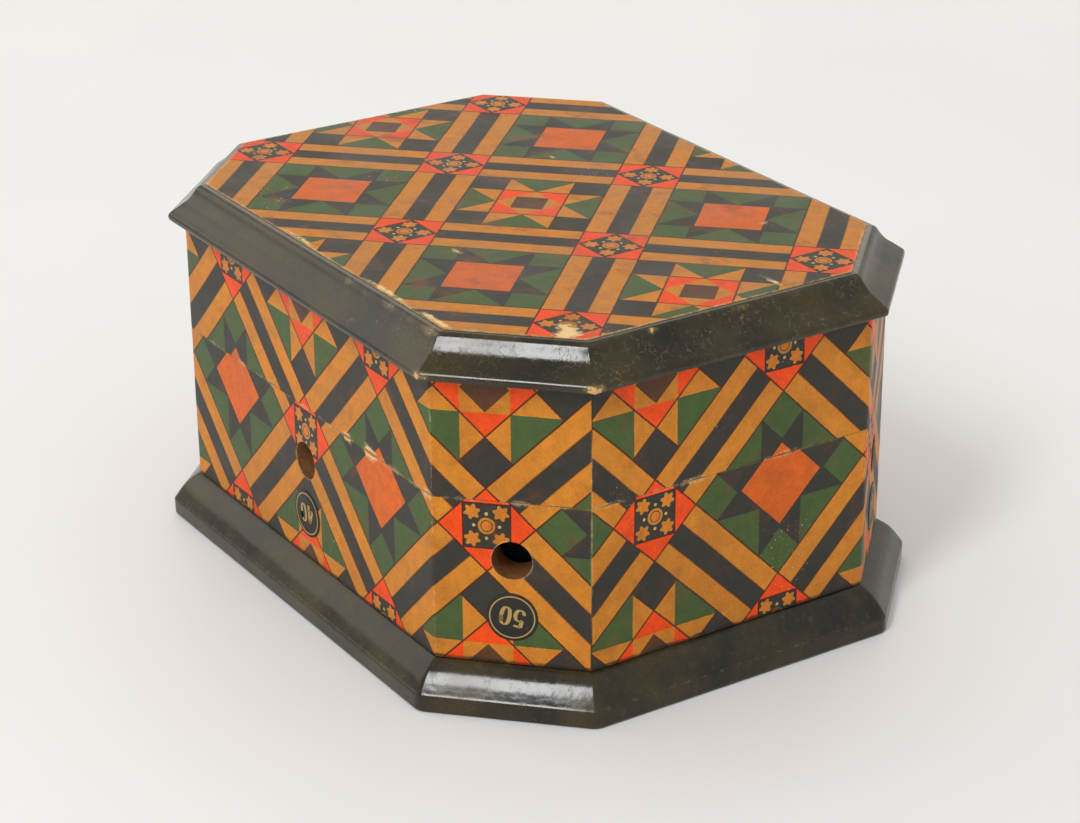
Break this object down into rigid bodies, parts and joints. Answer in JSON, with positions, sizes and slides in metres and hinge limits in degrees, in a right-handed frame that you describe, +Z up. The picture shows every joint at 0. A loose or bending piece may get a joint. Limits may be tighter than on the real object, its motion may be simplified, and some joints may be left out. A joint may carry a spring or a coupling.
{
  "type": "sewing thread box",
  "caption": "Octagonal papered wooden box with a hinged lid, moulded edges, numbered thread holes, and thread reels turning on pegs inside.",
  "frame": {"origin": "centre of the plinth board's underside, on the surface that the box stands on", "axes": "+X along the box to its right end, +Y across it to the hinged back wall, +Z up"},
  "size_m": [0.1406, 0.109, 0.069],
  "materials": {
    "black_lacquer": "glossy black-brown lacquer over wood, finely crazed, chipped at the edges",
    "wall_wood": "bare pine, planed, aged to yellow-brown",
    "printed_paper": "satin varnished printed paper: gold, black, green, red and orange tile pattern",
    "lining_paper": "plain cream paper, matt, foxed",
    "number_label": "black paper disc with a gold ring and numerals",
    "turned_peg_wood": "turned wood, bare",
    "reel_wood": "turned birch, bare",
    "aged_brass": "dull brass",
    "thread_cream": "wound cotton",
    "thread_red": "wound cotton",
    "thread_black": "wound cotton",
    "thread_blue": "wound cotton",
    "thread_green": "wound cotton"
  },
  "bodies": {
    "base": {"base_board": "black_lacquer", "base_front_wall": "wall_wood", "base_back_wall": "wall_wood", "base_left_end": "wall_wood", "base_right_end": "wall_wood", "base_front_left_corner": "wall_wood", "base_front_right_corner": "wall_wood", "base_back_left_corner": "wall_wood", "base_back_right_corner": "wall_wood", "base_front_paper": "printed_paper", "base_back_paper": "printed_paper", "base_wall_lining": "lining_paper", "base_floor_lining": "lining_paper", "front_left_label": "number_label", "front_middle_label": "number_label", "front_right_label": "number_label", "back_left_label": "number_label", "back_middle_label": "number_label", "back_right_label": "number_label", "front_left_peg": "turned_peg_wood", "front_middle_peg": "turned_peg_wood", "front_right_peg": "turned_peg_wood", "back_left_peg": "turned_peg_wood", "back_middle_peg": "turned_peg_wood", "back_right_peg": "turned_peg_wood", "left_hinge_base_leaf": "aged_brass", "right_hinge_base_leaf": "aged_brass", "left_hinge_pin": "aged_brass", "right_hinge_pin": "aged_brass", "base_hinge_screws": "aged_brass"},
    "lid": {"lid_board": "black_lacquer", "lid_top_paper": "printed_paper", "lid_front_wall": "wall_wood", "lid_back_wall": "wall_wood", "lid_left_end": "wall_wood", "lid_right_end": "wall_wood", "lid_front_left_corner": "wall_wood", "lid_front_right_corner": "wall_wood", "lid_back_left_corner": "wall_wood", "lid_back_right_corner": "wall_wood", "lid_front_paper": "printed_paper", "lid_back_paper": "printed_paper", "lid_wall_lining": "lining_paper", "lid_ceiling_lining": "lining_paper", "left_hinge_lid_leaf": "aged_brass", "right_hinge_lid_leaf": "aged_brass", "lid_hinge_screws": "aged_brass"},
    "front_left_reel": {"front_left_reel": "reel_wood", "front_left_thread": "thread_cream"},
    "front_middle_reel": {"front_middle_reel": "reel_wood", "front_middle_thread": "thread_red"},
    "front_right_reel": {"front_right_reel": "reel_wood", "front_right_thread": "thread_black"},
    "back_left_reel": {"back_left_reel": "reel_wood", "back_left_thread": "thread_blue"},
    "back_middle_reel": {"back_middle_reel": "reel_wood", "back_middle_thread": "thread_cream"},
    "back_right_reel": {"back_right_reel": "reel_wood", "back_right_thread": "thread_green"}
  },
  "joints": [
    {"name": "lid_hinge", "type": "hinge", "parent": "base", "child": "lid", "pos_m": [0, 0.0511, 0.03965], "axis": [-1, 0, 0], "range_deg": [0, 175]},
    {"name": "front_left_reel_spin", "type": "hinge", "parent": "base", "child": "front_left_reel", "pos_m": [-0.038, -0.021, 0.0281], "axis": [0, 0, 1], "continuous": true},
    {"name": "front_middle_reel_spin", "type": "hinge", "parent": "base", "child": "front_middle_reel", "pos_m": [0, -0.021, 0.0281], "axis": [0, 0, 1], "continuous": true},
    {"name": "front_right_reel_spin", "type": "hinge", "parent": "base", "child": "front_right_reel", "pos_m": [0.038, -0.021, 0.0281], "axis": [0, 0, 1], "continuous": true},
    {"name": "back_left_reel_spin", "type": "hinge", "parent": "base", "child": "back_left_reel", "pos_m": [-0.038, 0.021, 0.0281], "axis": [0, 0, 1], "continuous": true},
    {"name": "back_middle_reel_spin", "type": "hinge", "parent": "base", "child": "back_middle_reel", "pos_m": [0, 0.021, 0.0281], "axis": [0, 0, 1], "continuous": true},
    {"name": "back_right_reel_spin", "type": "hinge", "parent": "base", "child": "back_right_reel", "pos_m": [0.038, 0.021, 0.0281], "axis": [0, 0, 1], "continuous": true}
  ]
}
